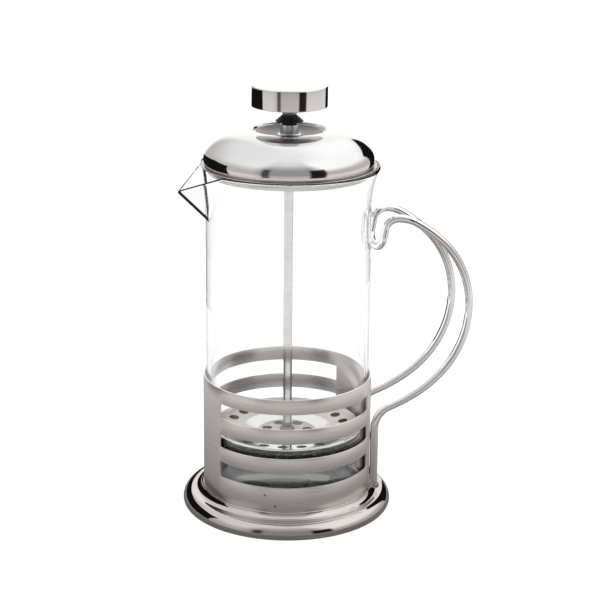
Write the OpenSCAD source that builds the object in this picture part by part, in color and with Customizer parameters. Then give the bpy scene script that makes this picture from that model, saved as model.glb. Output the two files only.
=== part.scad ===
// Small french press: glass beaker in a perforated steel cage on a round foot,
// bent wire handle, domed steel lid and a plunger with a mesh filter.
// Units are millimetres. The axis of the beaker is Z and the foot rests on z = 0.
// The handle points along +X and the spout along -X.

/* [Foot] */
// Outer radius of the foot at its rounded edge
foot_r = 47.25; // [42:0.05:55]
// Height of the floor that the glass stands on
floor_z = 9; // [7:0.1:12]
// Thickness of the pressed foot sheet
foot_sheet = 0.8; // [0.5:0.1:1.5]
// Radius of the convex roll around the foot
crown_r = 4.85; // [3:0.05:7]
// Height of the centre of that roll
crown_z = 2.3; // [1.5:0.1:4]
// Radius of the hollow between the roll and the cage
cove_r = 3.75; // [2:0.05:5]
// Radius of the small bead that the cage stands on
bead_r = 0.4; // [0.2:0.05:0.8]
// Depth of the rings pressed into the floor
ring_depth = 0.5; // [0.2:0.1:0.7]

/* [Cage] */
// Outer radius of the cage
cage_r = 37.8; // [34:0.05:42]
// Thickness of the cage sheet
cage_sheet = 0.8; // [0.5:0.1:1.5]
// Height of the cage's upper edge
cage_top = 62.1; // [50:0.1:80]
// Height of each slot
slot_h = 6.85; // [4:0.05:9]
// Height of the lowest slot's lower edge
slot_z = 21.2; // [16:0.1:26]
// Distance from one slot to the next
slot_pitch = 13.65; // [11:0.05:18]
// Number of slots above each other
slot_rows = 3; // [1:1:4]
// Half angle of the solid band on the handle's side
handle_band = 34; // [25:0.5:45]
// Half angle of the solid band on the spout's side
spout_band = 22.6; // [15:0.1:35]

/* [Handle] */
// Diameter of the handle wire
wire_d = 3.6; // [3:0.1:5]
// Distance of the wire's feet in front of the axis
wire_x = 38.2; // [37:0.05:40]
// Height of the wire's cut ends
wire_z = 7.5; // [6:0.1:9]
// Half the distance between the two wires at the grip
wire_gap = 11; // [8:0.1:14]
// Half the distance between the two wires in the hook
hook_gap = 8.5; // [4:0.1:10]
// Depth of the rounded end of the hook
hook_depth = 5.5; // [3:0.1:8]
// Length of the straight foot of the wire
foot_run = 27.9; // [20:0.1:35]
// Length of the long bow that the hand holds
bow_run = 69.4; // [55:0.1:80]

/* [Glass] */
// Outer radius of the glass
glass_r = 36.4; // [33:0.05:40]
// Thickness of the glass wall
glass_wall = 1.7; // [1.2:0.1:2.5]
// Thickness of the glass bottom
glass_base = 2; // [1.5:0.1:4]
// Radius of the lower corner of the glass
glass_corner = 5; // [3:0.5:8]
// Height where the glass starts to flare
flare_z = 139; // [125:0.5:145]
// Outer radius of the flared rim
rim_r = 39.8; // [38:0.05:43]
// Height of the top of the rim
rim_z = 157.45; // [150:0.05:165]
// Distance of the spout's tip from the axis
tip_x = 49.3; // [44:0.1:55]
// Height of the spout's tip
tip_z = 147.3; // [142:0.1:155]
// Height where the spout's keel leaves the wall
keel_z = 134.3; // [125:0.1:140]
// Half width of the spout at the rim
spout_w = 18.5; // [12:0.1:22]

/* [Lid] */
// Largest radius of the domed lid
dome_r = 37.3; // [35:0.05:40]
// Height of the dome's lower edge
dome_z = 158.4; // [158.1:0.05:160]
// Height of the ring that crowns the dome
dome_top = 173.4; // [168:0.1:180]
// Radius of that ring
dome_ring = 17; // [14:0.1:22]
// Corner radius around the side of the dome
dome_side = 7; // [4:0.1:10]
// Thickness of the lid sheet
lid_sheet = 0.8; // [0.5:0.1:1.2]
// Outer radius of the skirt inside the glass
skirt_r = 35.4; // [34:0.1:37]
// Height of the skirt's lower edge
skirt_z = 154.2; // [145:0.1:156]
// Radius of the flange that rests on the glass rim
flange_r = 38.4; // [37.6:0.1:39]

/* [Guide] */
// Largest radius of the black guide bead
bead_wide = 6.1; // [5:0.1:9]
// Height of the bead's widest line
bead_mid = 176.8; // [176.2:0.1:178]
// Height of the bead's lower end
bead_low = 175.5; // [174.5:0.1:176]
// Height of the bead's upper end
bead_high = 179.4; // [178.5:0.1:181]
// Radius of both ends of the bead
bead_end = 3.4; // [3.2:0.1:5]
// Radial running clearance of the moving parts
running = 0.05; // [0.02:0.01:0.1]

/* [Plunger] */
// Radius of the knob
knob_r = 16.7; // [13:0.1:20]
// Height of the knob's lower edge
knob_low = 183.3; // [182:0.1:186]
// Height of the knob's top
knob_high = 192.4; // [189:0.1:200]
// Radius of the top of the tapered steel neck under the knob
neck_r = 4.8; // [4:0.1:6]
// Radius of the neck's lower end
neck_end = 3.1; // [2.8:0.1:4]
// Diameter of the plunger rod
rod_d = 4.2; // [3.5:0.1:6]
// Height of the rod's lower end
rod_low = 28.8; // [26:0.1:31]

/* [Filter] */
// Outer radius of the dished top plate
plate_r = 33.6; // [31:0.1:33.8]
// Thickness of the filter plates
plate_sheet = 0.6; // [0.4:0.1:1]
// Height of the underside of the top plate's centre
plate_z = 33.6; // [32:0.1:35]
// Height that the top plate's rim rises above its centre
plate_rise = 3.5; // [2:0.1:5]
// Radius of the wire of the sealing coil
coil_r = 1; // [0.8:0.05:1.2]
// Number of holes in the top plate's outer ring
outer_holes = 20; // [12:1:20]
// Number of holes in the top plate's inner ring
inner_holes = 7; // [5:1:9]

/* [Hidden] */
$fn = 96;

mirror_steel = [0.82, 0.82, 0.83];
brushed_steel = [0.68, 0.67, 0.66];
weld_steel = [0.55, 0.54, 0.52];
black_plastic = [0.05, 0.05, 0.05];
clear_glass = [0.85, 0.92, 0.93, 0.35];

// Points of an arc about (cx, cz) from angle a0 to angle a1
function arc(cx, cz, r, a0, a1, n = 8) =
    [for (i = [0:n]) [cx + r * cos(a0 + (a1 - a0) * i / n), cz + r * sin(a0 + (a1 - a0) * i / n)]];

// Running sums of a list, starting with 0
function running_sum(v) =
    [for (i = 0, s = 0; i <= len(v); s = s + (i < len(v) ? v[i] : 0), i = i + 1) s];

// ---- foot ----
crown_x = foot_r - crown_r;
cove_z = crown_z + crown_r + cove_r;
cove_x = crown_x - 0.6;
bead_x = cage_r + 0.15;
seat_z = floor_z + 0.85;
foot_inner_roll = 1.3;

// A shallow trough pressed into the floor at radius r
function trough(r, z) = [[r - 1.6, z], [r - 0.9, z - ring_depth], [r + 0.9, z - ring_depth], [r + 1.6, z]];

module base_foot() {
    under = floor_z - foot_sheet;
    roll_x = crown_x + crown_r - crown_z;
    color(mirror_steel)
    rotate_extrude()
    polygon(concat(
        [[0, floor_z]],
        trough(12, floor_z),
        trough(22, floor_z),
        [[30, floor_z], [36.6, floor_z], [36.85, seat_z]],
        arc(bead_x, seat_z - bead_r, bead_r, 90, -20, 5),
        arc(cove_x, cove_z, cove_r, 205, 270, 7),
        arc(crown_x, crown_z, crown_r, 90, 0, 10),
        arc(roll_x, crown_z, crown_z, 0, -90, 7),
        [[crown_x + 1.6, 0]],
        arc(crown_x + crown_r - 1 - foot_inner_roll, foot_inner_roll + 1, foot_inner_roll, -60, 0, 4),
        arc(crown_x, crown_z, crown_r - 1, 0, 90, 9),
        arc(cove_x, cove_z, cove_r + foot_sheet, 270, 216, 6),
        [[37.2, under]],
        [for (i = [3:-1:0]) trough(22, under)[i]],
        [for (i = [3:-1:0]) trough(12, under)[i]],
        [[0, under]]));
}

// ---- cage ----
module cage_slot(z, start, span) {
    translate([0, 0, z])
    rotate_extrude(angle = span, start = start)
    translate([cage_r - 3, 0])
    square([6, slot_h]);
}

module cage_sleeve() {
    span = 180 - handle_band - spout_band;
    color(brushed_steel)
    difference() {
        rotate_extrude()
        translate([cage_r - cage_sheet, seat_z])
        square([cage_sheet, cage_top - seat_z]);
        for (row = [0:slot_rows - 1]) {
            cage_slot(slot_z + row * slot_pitch, handle_band, span);
            cage_slot(slot_z + row * slot_pitch, 180 + spout_band, span);
        }
    }
}

// Spot welds on the lower band, given as [angle, height]
spot_places = [[-120.5, 17.5], [-113.5, 12.6]];
spot_r = 0.8;
spot_high = 0.15;

module sleeve_spot_welds() {
    color(weld_steel)
    for (p = spot_places)
        rotate([0, 0, p[0]])
        translate([cage_r - 0.1, 0, p[1]])
        rotate([0, 90, 0])
        cylinder(h = spot_high + 0.1, r1 = spot_r, r2 = spot_r * 0.7, $fn = 24);
}

// ---- handle ----
wire_r = wire_d / 2;
wire_sides = 16;
bend_step = 6;
bend_sides = 22;
hook_end = 4;
// Each run of the side view is [length, turn]; a positive turn bends back towards the beaker
runs = [[foot_run, 0], [12.5, -71.5], [13.3, 9.5], [14.5, 16], [bow_run, 92.5],
        [16.3, 13], [8.2, 30.5], [8.4, 80], [hook_end, 0]];
pieces = [for (run = runs)
    let (n = max(1, ceil(abs(run[1]) / bend_step)))
    for (i = [1:n]) [run[0] / n, run[1] / n]];
heads = [for (s = running_sum([for (p = pieces) p[1]])) 90 + s];
along = running_sum([for (p = pieces) p[0]]);
side_x = running_sum([for (i = [0:len(pieces) - 1]) pieces[i][0] * cos(heads[i] + pieces[i][1] / 2)]);
side_z = running_sum([for (i = [0:len(pieces) - 1]) pieces[i][0] * sin(heads[i] + pieces[i][1] / 2)]);
last = len(pieces);
close_to = along[last] - hook_end;
close_from = close_to - runs[7][0] - 6;

// Half spacing of the wires at a distance s along one of them
function spread(s) =
    let (t = min(1, max(0, (s - close_from) / (close_to - close_from))))
    wire_gap + (hook_gap - wire_gap) * t * t * (3 - 2 * t);

one_leg = [for (i = [0:last]) [wire_x + side_x[i], spread(along[i]), wire_z + side_z[i]]];
hook_dir = [cos(heads[last]), 0, sin(heads[last])];
hook_mid = [one_leg[last][0], 0, one_leg[last][2]];
hook_bend = [for (i = [1:bend_sides - 1])
    let (t = 180 * i / bend_sides)
    hook_mid + hook_gap * cos(t) * [0, 1, 0] + hook_depth * sin(t) * hook_dir];
wire_path = concat(one_leg, hook_bend, [for (i = [last:-1:0]) [one_leg[i][0], -one_leg[i][1], one_leg[i][2]]]);
wire_turn = concat(heads, [for (i = [1:bend_sides - 1]) heads[last]], [for (i = [last:-1:0]) heads[i]]);
path_end = len(wire_path) - 1;

function unit(v) = v / norm(v);
function path_dir(i) = unit(wire_path[min(path_end, i + 1)] - wire_path[max(0, i - 1)]);
function end_dir(i) = (i == 0) ? [0, 0, 1] : (i == path_end) ? [0, 0, -1] : path_dir(i);
function wire_ring(i) =
    let (t = end_dir(i), flat = [-sin(wire_turn[i]), 0, cos(wire_turn[i])],
         b = unit(cross(t, flat)), n = cross(b, t))
    [for (k = [0:wire_sides - 1])
        wire_path[i] + wire_r * (cos(360 * k / wire_sides) * n + sin(360 * k / wire_sides) * b)];

module handle_wire() {
    points = [for (i = [0:path_end]) each wire_ring(i)];
    sides = [for (i = [0:path_end - 1]) for (k = [0:wire_sides - 1])
        let (a = i * wire_sides + k, b = i * wire_sides + (k + 1) % wire_sides)
        each [[a, a + wire_sides, b + wire_sides], [a, b + wire_sides, b]]];
    first_cap = [[for (k = [0:wire_sides - 1]) k]];
    last_cap = [[for (k = [wire_sides - 1:-1:0]) path_end * wire_sides + k]];
    color(mirror_steel)
    polyhedron(points = points, faces = concat(sides, first_cap, last_cap), convexity = 10);
}

module handle_foot_welds() {
    color(weld_steel)
    for (side = [-1, 1])
        translate([wire_x + 0.3, side * wire_gap, wire_z - 0.5])
        cylinder(h = 1.3, r1 = wire_r + 0.7, r2 = wire_r + 0.1, $fn = 40);
}

// Heights of the tack welds between each wire and the cage
tack_heights = [14.5, 31.5];

module handle_sleeve_welds() {
    angle = atan2(wire_gap, wire_x);
    color(weld_steel)
    for (side = [-1, 1]) for (z = tack_heights)
        rotate([0, 0, side * angle])
        translate([cage_r + 0.1, 0, z])
        cylinder(h = 3.2, r = 0.75, center = true, $fn = 24);
}

// ---- glass ----
glass_z = floor_z + 0.05;
glass_in = glass_r - glass_wall;
rim_round = glass_wall / 2;
flare_rise = rim_z - rim_round - flare_z;
flare_out = rim_r - rim_round - (glass_r - rim_round);
flare_angle = 2 * atan(flare_out / flare_rise);
flare_big = flare_rise / sin(flare_angle);
flare_x = glass_r - rim_round + flare_big;
inner_corner = glass_corner - glass_wall;

// Spout: the keel runs from the wall to the tip, the lips run from the tip to the rim
keel = [-glass_r, 0, keel_z];
tip = [-tip_x, 0, tip_z];
lip = [-34.9, spout_w, rim_z - 0.45];
keel_dir = unit(tip - keel);
keel_in = [keel_dir[2], 0, -keel_dir[0]];
face_out = unit(cross(tip - keel, lip - keel));
keel_move = glass_wall / abs(face_out * keel_in);
inner_keel = keel + keel_move * keel_in;
flip = [1, -1, 1];

function mirrored(p) = [p[0] * flip[0], p[1] * flip[1], p[2] * flip[2]];

module glass_outer() {
    rotate_extrude()
    polygon(concat(
        [[0, glass_z]],
        arc(glass_r - glass_corner, glass_z + glass_corner, glass_corner, -90, 0, 8),
        arc(flare_x, flare_z, flare_big - rim_round, 180, 180 - flare_angle, 7),
        arc(rim_r - rim_round, rim_z - rim_round, rim_round, -flare_angle + 20, 90, 5),
        [[0, rim_z]]));
}

module glass_inner() {
    rotate_extrude()
    polygon(concat(
        [[0, glass_z + glass_base]],
        arc(glass_in - inner_corner, glass_z + glass_base + inner_corner, inner_corner, -90, 0, 8),
        arc(flare_x, flare_z, flare_big + rim_round, 180, 180 - flare_angle, 7),
        arc(rim_r - rim_round, rim_z - rim_round, rim_round, 180 - flare_angle - 10, 115, 3),
        [[rim_r - rim_round + rim_round * cos(115), rim_z + 5], [0, rim_z + 5]]));
}

// Solid wedge that the spout is cut from
module spout_wedge() {
    polyhedron(
        points = [keel - 1.5 * keel_dir, tip, lip, mirrored(lip)],
        faces = [[0, 2, 1], [0, 1, 3], [1, 2, 3], [0, 3, 2]]);
}

// Hollow of the spout, open at the top
module spout_hollow() {
    start = inner_keel - 4 * keel_dir;
    stop = inner_keel + 34 * keel_dir;
    up = 1.6 * (lip - keel);
    polyhedron(
        points = [start, start + up, start + mirrored(up), stop, stop + up, stop + mirrored(up)],
        faces = [[0, 2, 1], [3, 4, 5], [0, 1, 4, 3], [0, 3, 5, 2], [1, 2, 5, 4]]);
}

module glass_beaker() {
    color(clear_glass)
    difference() {
        union() {
            glass_outer();
            spout_wedge();
        }
        glass_inner();
        spout_hollow();
    }
}

// ---- lid ----
hole_r = 3.05;
dish_r = 13.6;
dish_z = 171;
boss_r = 4;
boss_z = bead_low - 0.05;
side_x0 = dome_r - dome_side;
side_z0 = dome_z + 1.8;
side_in = side_x0 - dome_ring;
side_up = dome_top - side_z0;
dome_big = (side_in * side_in + side_up * side_up - dome_side * dome_side) / (2 * (side_up - dome_side));
dome_z0 = dome_top - dome_big;
meet = atan2(side_z0 - dome_z0, side_in);
dish_span = 24;
dish_big = (dish_r - boss_r - 2) / sin(dish_span);

module lid_dome() {
    color(mirror_steel)
    rotate_extrude()
    polygon(concat(
        [[dome_r - lid_sheet, dome_z + 0.3], [dome_r - lid_sheet + 0.2, dome_z], [dome_r - 0.35, dome_z]],
        arc(side_x0, side_z0, dome_side, -12, meet, 9),
        arc(dome_ring, dome_z0, dome_big, meet, 90, 7),
        arc(dome_ring, dome_top - 1.6, 1.6, 100, 165, 5),
        arc(boss_r + 2, dish_z + dish_big, dish_big, -90 + dish_span, -90, 8),
        arc(boss_r + 0.5, dish_z + 0.5, 0.5, -90, -180, 4),
        [[boss_r, boss_z - 0.3], [boss_r - 0.3, boss_z], [hole_r, boss_z], [hole_r, dish_z - lid_sheet]],
        arc(boss_r + 2, dish_z + dish_big, dish_big + lid_sheet, -90, -90 + dish_span, 8),
        arc(dome_ring, dome_z0, dome_big - lid_sheet, 90, meet, 7),
        arc(side_x0, side_z0, dome_side - lid_sheet, meet, 0, 8)));
}

flange_z = rim_z - 0.25;
skirt_sheet = 0.6;
neck_out = dome_r - lid_sheet;

module lid_skirt() {
    color(brushed_steel)
    rotate_extrude()
    polygon(concat(
        [[skirt_r - skirt_sheet, skirt_z], [skirt_r, skirt_z]],
        arc(skirt_r + 1.2, flange_z - 1.2, 1.2, 180, 90, 4),
        arc(flange_r - skirt_sheet / 2, flange_z + skirt_sheet / 2, skirt_sheet / 2, -90, 90, 6),
        [[neck_out, flange_z + skirt_sheet], [neck_out, dome_z + 2.2],
         [neck_out - skirt_sheet, dome_z + 2.2], [neck_out - skirt_sheet, flange_z + skirt_sheet]],
        arc(skirt_r + 1.2, flange_z - 1.2, 1.2 + skirt_sheet, 90, 180, 5)));
}

// ---- guide ----
rod_r = rod_d / 2;
bush_bore = rod_r + running;
spigot_r = hole_r - running;
spigot_low = dish_z - lid_sheet - 3.1;

module lid_bush() {
    color(black_plastic)
    rotate_extrude()
    polygon([
        [bush_bore, spigot_low], [spigot_r, spigot_low], [spigot_r, bead_low], [bead_end, bead_low],
        [bead_wide - 0.3, bead_mid - 0.35], [bead_wide, bead_mid], [bead_wide - 0.3, bead_mid + 0.35],
        [bead_end, bead_high], [bush_bore, bead_high]]);
}

module bush_nut() {
    color(brushed_steel)
    translate([0, 0, spigot_low + 0.5])
    difference() {
        cylinder(h = 2.5, r = 5.2, $fn = 6);
        translate([0, 0, -1])
        cylinder(h = 5, r = spigot_r);
    }
}

// ---- plunger ----
knob_sheet = 0.8;
neck_low = bead_high + 0.05;
core_low = knob_low + knob_sheet;
core_high = knob_high - knob_sheet;
rod_high = knob_high - 2.4;

module knob_cap() {
    edge = 0.9;
    color(mirror_steel)
    rotate_extrude()
    polygon(concat(
        [[0, knob_high]],
        arc(knob_r - edge, knob_high - edge, edge, 90, 0, 6),
        arc(knob_r - 0.6, knob_low + 0.6, 0.6, 0, -90, 5),
        [[neck_r, knob_low], [neck_r, core_low], [knob_r - knob_sheet, core_low],
         [knob_r - knob_sheet, core_high], [0, core_high]]));
}

module knob_core() {
    color(black_plastic)
    rotate_extrude()
    polygon([
        [rod_r, core_low], [knob_r - knob_sheet, core_low], [knob_r - knob_sheet, core_high],
        [0, core_high], [0, rod_high], [rod_r, rod_high]]);
}

module knob_boss() {
    color(mirror_steel)
    rotate_extrude()
    polygon([
        [rod_r, neck_low], [neck_end, neck_low], [neck_r, knob_low], [neck_r, core_low], [rod_r, core_low]]);
}

module plunger_rod() {
    color(mirror_steel)
    translate([0, 0, rod_low])
    cylinder(h = rod_high - rod_low, r = rod_r);
}

// ---- filter ----
plate_flat = 14;
outer_ring = 26.5;
inner_ring = 9.5;
mesh_sheet = 0.3;
mesh_r = 33.2;
mesh_z = plate_z - mesh_sheet;
hem_r = glass_in - 0.4;
cross_sheet = 1;
cross_r = 31;
cross_z = mesh_z - cross_sheet;
hem_top = plate_z + plate_rise - 0.5;
hem_sheet = 0.25;
coil_path = hem_r - hem_sheet - 0.05 - coil_r;
coil_z = plate_z + 1.5;

module hub_collar() {
    collar_z = plate_z + plate_sheet;
    color(brushed_steel)
    rotate_extrude()
    polygon([
        [rod_r, collar_z], [3.4, collar_z], [3.4, collar_z + 1.2], [2.7, collar_z + 2], [rod_r, collar_z + 2]]);
}

module plate_body() {
    rise = plate_z + plate_rise;
    rotate_extrude()
    polygon([
        [rod_r, plate_z], [plate_flat, plate_z], [plate_r - 3, rise - 0.7], [plate_r - 0.3, rise],
        [plate_r, rise + 0.2], [plate_r - 0.1, rise + 0.6], [plate_r - 3.1, rise - 0.7 + plate_sheet],
        [plate_flat - 0.1, plate_z + plate_sheet], [rod_r, plate_z + plate_sheet]]);
}

module plate_holes(count, ring, r, turn) {
    for (i = [0:count - 1])
        rotate([0, 0, turn + 360 * i / count])
        translate([ring, 0, plate_z - 2])
        cylinder(h = 10, r = r, $fn = 32);
}

module top_plate() {
    color(mirror_steel)
    difference() {
        plate_body();
        plate_holes(outer_holes, outer_ring, 2.3, 16);
        plate_holes(inner_holes, inner_ring, 2.25, 45);
    }
}

module spring_coil() {
    color(brushed_steel)
    rotate_extrude()
    translate([coil_path, coil_z])
    circle(r = coil_r, $fn = 32);
}

module filter_mesh() {
    color(brushed_steel)
    rotate_extrude()
    translate([rod_r, mesh_z])
    square([mesh_r - rod_r, mesh_sheet]);
}

module mesh_hem() {
    color(brushed_steel)
    rotate_extrude()
    polygon([
        [mesh_r, mesh_z], [hem_r - 0.2, mesh_z], [hem_r, mesh_z + 0.2], [hem_r, hem_top],
        [hem_r - hem_sheet, hem_top], [hem_r - hem_sheet, mesh_z + mesh_sheet], [mesh_r, mesh_z + mesh_sheet]]);
}

module cross_plate() {
    windows = 8;
    span = 26;
    color(brushed_steel)
    difference() {
        rotate_extrude()
        translate([rod_r, cross_z])
        square([cross_r - rod_r, cross_sheet]);
        for (i = [0:windows - 1])
            translate([0, 0, cross_z - 1])
            rotate_extrude(angle = span, start = i * 360 / windows + (360 / windows - span) / 2)
            translate([11, 0])
            square([15.5, 3]);
    }
}

module hub_nut() {
    color(brushed_steel)
    translate([0, 0, cross_z - 2.7])
    difference() {
        cylinder(h = 2.7, r = 4.6, $fn = 6);
        translate([0, 0, -1])
        cylinder(h = 5, r = rod_r);
    }
}

base_foot();
cage_sleeve();
sleeve_spot_welds();
handle_wire();
handle_foot_welds();
handle_sleeve_welds();
glass_beaker();
lid_bush();
bush_nut();
lid_dome();
lid_skirt();
knob_cap();
knob_core();
knob_boss();
plunger_rod();
hub_collar();
top_plate();
spring_coil();
filter_mesh();
mesh_hem();
cross_plate();
hub_nut();
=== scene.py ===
"""Looks of a small french press: detailed steel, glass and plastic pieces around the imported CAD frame."""

import math
import random

import bmesh
import bpy
from mathutils import Matrix, Vector


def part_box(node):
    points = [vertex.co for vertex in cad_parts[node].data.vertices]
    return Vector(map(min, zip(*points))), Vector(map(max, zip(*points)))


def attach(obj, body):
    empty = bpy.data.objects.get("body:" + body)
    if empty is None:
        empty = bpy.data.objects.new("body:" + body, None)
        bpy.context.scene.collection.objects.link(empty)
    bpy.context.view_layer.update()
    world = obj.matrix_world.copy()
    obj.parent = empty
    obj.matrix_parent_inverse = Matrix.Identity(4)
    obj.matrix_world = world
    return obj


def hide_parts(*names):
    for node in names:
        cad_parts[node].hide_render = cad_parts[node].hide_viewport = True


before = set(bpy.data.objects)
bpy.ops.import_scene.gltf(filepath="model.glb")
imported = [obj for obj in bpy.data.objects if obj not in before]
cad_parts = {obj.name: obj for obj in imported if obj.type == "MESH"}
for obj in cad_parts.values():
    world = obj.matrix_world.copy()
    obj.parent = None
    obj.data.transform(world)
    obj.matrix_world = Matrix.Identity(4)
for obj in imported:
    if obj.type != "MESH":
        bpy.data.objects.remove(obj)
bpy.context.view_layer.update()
MM = 0.001


# ---------------------------------------------------------------- sizes read from the frame, in millimetres

def low(node, axis=2):
    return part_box(node)[0][axis] / MM


def high(node, axis=2):
    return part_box(node)[1][axis] / MM


def width(node):
    return high(node, 1)


# ---------------------------------------------------------------- mesh helpers

def arc(cx, cz, r, a0, a1, n=16):
    """Points of an arc about (cx, cz) from angle a0 to a1, in degrees."""
    steps = [math.radians(a0 + (a1 - a0) * i / n) for i in range(n + 1)]
    return [(cx + r * math.cos(a), cz + r * math.sin(a)) for a in steps]


def finish_mesh(name, bm, body, material, stands_for, sharp=32):
    """Turns a bmesh in millimetres into a smooth-shaded piece that rides on a body."""
    bmesh.ops.remove_doubles(bm, verts=bm.verts, dist=0.0005)
    bmesh.ops.recalc_face_normals(bm, faces=bm.faces)
    for face in bm.faces:
        face.smooth = True
    for edge in bm.edges:
        if len(edge.link_faces) == 2 and edge.calc_face_angle(0) > math.radians(sharp):
            edge.smooth = False
    bmesh.ops.scale(bm, vec=(MM, MM, MM), verts=bm.verts)
    mesh = bpy.data.meshes.new(name)
    bm.to_mesh(mesh)
    bm.free()
    piece = bpy.data.objects.new(name, mesh)
    bpy.context.scene.collection.objects.link(piece)
    piece.data.materials.append(material)
    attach(piece, body)
    if stands_for:
        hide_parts(*stands_for)
    return piece


def bake_modifiers(piece):
    """Applies a piece's modifiers, so that its mesh is the final shape."""
    graph = bpy.context.evaluated_depsgraph_get()
    mesh = bpy.data.meshes.new_from_object(piece.evaluated_get(graph))
    piece.modifiers.clear()
    piece.data = mesh


def spin(bm, outline, segments=256, closed=True):
    """Adds a solid of revolution about Z. The outline is a list of (radius, height)."""
    rings = []
    for r, z in outline:
        if r < 1e-6:
            rings.append([bm.verts.new((0, 0, z))])
        else:
            turns = [2 * math.pi * k / segments for k in range(segments)]
            rings.append([bm.verts.new((r * math.cos(a), r * math.sin(a), z)) for a in turns])
    count = len(rings)
    for i in range(count if closed else count - 1):
        a, b = rings[i], rings[(i + 1) % count]
        if len(a) == 1 and len(b) == 1:
            continue
        for k in range(segments):
            n = (k + 1) % segments
            if len(a) == 1:
                bm.faces.new((a[0], b[k], b[n]))
            elif len(b) == 1:
                bm.faces.new((a[k], b[0], a[n]))
            else:
                bm.faces.new((a[k], b[k], b[n], a[n]))


def lathe(name, outline, body, material, stands_for, segments=256, sharp=32):
    bm = bmesh.new()
    spin(bm, outline, segments)
    return finish_mesh(name, bm, body, material, stands_for, sharp)


def sweep(bm, path, radius, sides, normals, closed=False):
    """Adds a round tube along a path. normals holds one direction across the path for each point."""
    count = len(path)
    rings = []
    for i, point in enumerate(path):
        if closed:
            along = path[(i + 1) % count] - path[i - 1]
        else:
            along = path[min(i + 1, count - 1)] - path[max(i - 1, 0)]
        along = along.normalized()
        side = along.cross(normals[i]).normalized()
        up = side.cross(along)
        turns = [2 * math.pi * k / sides for k in range(sides)]
        rings.append([bm.verts.new(point + radius * (math.cos(a) * up + math.sin(a) * side)) for a in turns])
    for i in range(count if closed else count - 1):
        a, b = rings[i], rings[(i + 1) % count]
        for k in range(sides):
            n = (k + 1) % sides
            bm.faces.new((a[k], b[k], b[n], a[n]))
    if not closed:
        bm.faces.new(rings[0])
        bm.faces.new(list(reversed(rings[-1])))


# ---------------------------------------------------------------- materials

ZONE_SOFT = 0.0002
RING_WISE, UPRIGHT = (1, 1, 0), (0, 0, 1)


def new_material(name):
    material = bpy.data.materials.new(name)
    material.use_nodes = True
    nodes = material.node_tree.nodes
    return material, nodes, material.node_tree.links, nodes["Principled BSDF"]


def object_coords(nodes, links, scale):
    """Object coordinates stretched by scale, so that patterns follow the object's own size."""
    coords = nodes.new("ShaderNodeTexCoord")
    mapping = nodes.new("ShaderNodeMapping")
    mapping.inputs["Scale"].default_value = scale
    links.new(coords.outputs["Object"], mapping.inputs["Vector"])
    return mapping.outputs["Vector"]


def noise(nodes, links, vector, scale, detail=3.0):
    texture = nodes.new("ShaderNodeTexNoise")
    texture.inputs["Scale"].default_value = scale
    texture.inputs["Detail"].default_value = detail
    links.new(vector, texture.inputs["Vector"])
    return texture.outputs["Fac"]


def spread(nodes, links, value, lowest, highest, start=0.0, stop=1.0):
    """Maps a 0 to 1 value onto a range."""
    node = nodes.new("ShaderNodeMapRange")
    node.inputs["From Min"].default_value = start
    node.inputs["From Max"].default_value = stop
    node.inputs["To Min"].default_value = lowest
    node.inputs["To Max"].default_value = highest
    links.new(value, node.inputs["Value"])
    return node.outputs["Result"]


def shade(nodes, links, value, dark, light, start=0.3, stop=0.7):
    """Colour between dark and light, driven by a pattern."""
    ramp = nodes.new("ShaderNodeValToRGB")
    ramp.color_ramp.elements[0].position = start
    ramp.color_ramp.elements[0].color = (*dark, 1)
    ramp.color_ramp.elements[1].position = stop
    ramp.color_ramp.elements[1].color = (*light, 1)
    links.new(value, ramp.inputs["Fac"])
    return ramp.outputs["Color"]


def bump(nodes, links, shader, height, strength, distance):
    node = nodes.new("ShaderNodeBump")
    node.inputs["Strength"].default_value = strength
    node.inputs["Distance"].default_value = distance
    links.new(height, node.inputs["Height"])
    links.new(node.outputs["Normal"], shader.inputs["Normal"])


def combine(nodes, links, operation, a, b):
    """Joins two values by a sum of the given kind."""
    node = nodes.new("ShaderNodeMath")
    node.operation = operation
    links.new(a, node.inputs[0])
    links.new(b, node.inputs[1])
    return node.outputs["Value"]


def length_of(nodes, links, vector):
    node = nodes.new("ShaderNodeVectorMath")
    node.operation = "LENGTH"
    links.new(vector, node.inputs[0])
    return node.outputs["Value"]


def mix(nodes, links, kind, factor, a, b):
    """Mixes a and b. kind is RGBA or FLOAT, and b may be a plain number."""
    node = nodes.new("ShaderNodeMix")
    node.data_type = kind
    weight, first, second = [socket for socket in node.inputs if socket.enabled]
    links.new(factor, weight)
    links.new(a, first)
    if isinstance(b, float):
        second.default_value = b
    else:
        links.new(b, second)
    return next(socket for socket in node.outputs if socket.enabled)


def rough_zone_painted_light(nodes, links, smear, colour, gloss, axes, begin, limit, level, dull):
    """Colour and roughness with a rougher zone whose colour is painted: painted shade where it is darker,
    painted light where it is lighter. Lengths are in metres.

    The zone is measured along axes and reaches to limit, and its painted colour starts from begin on.
    """
    measure = length_of(nodes, links, object_coords(nodes, links, axes))
    zone = spread(nodes, links, measure, 1, 0, limit - ZONE_SOFT, limit + ZONE_SOFT)
    past = spread(nodes, links, measure, 0, 1, begin - ZONE_SOFT, begin + ZONE_SOFT)
    painted_tone = spread(nodes, links, smear, 0.8 * level, 1.2 * level)
    painted_mask = combine(nodes, links, "MULTIPLY", zone, past)
    return mix(nodes, links, "RGBA", painted_mask, colour, painted_tone), mix(nodes, links, "FLOAT", zone, gloss, dull)


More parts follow.
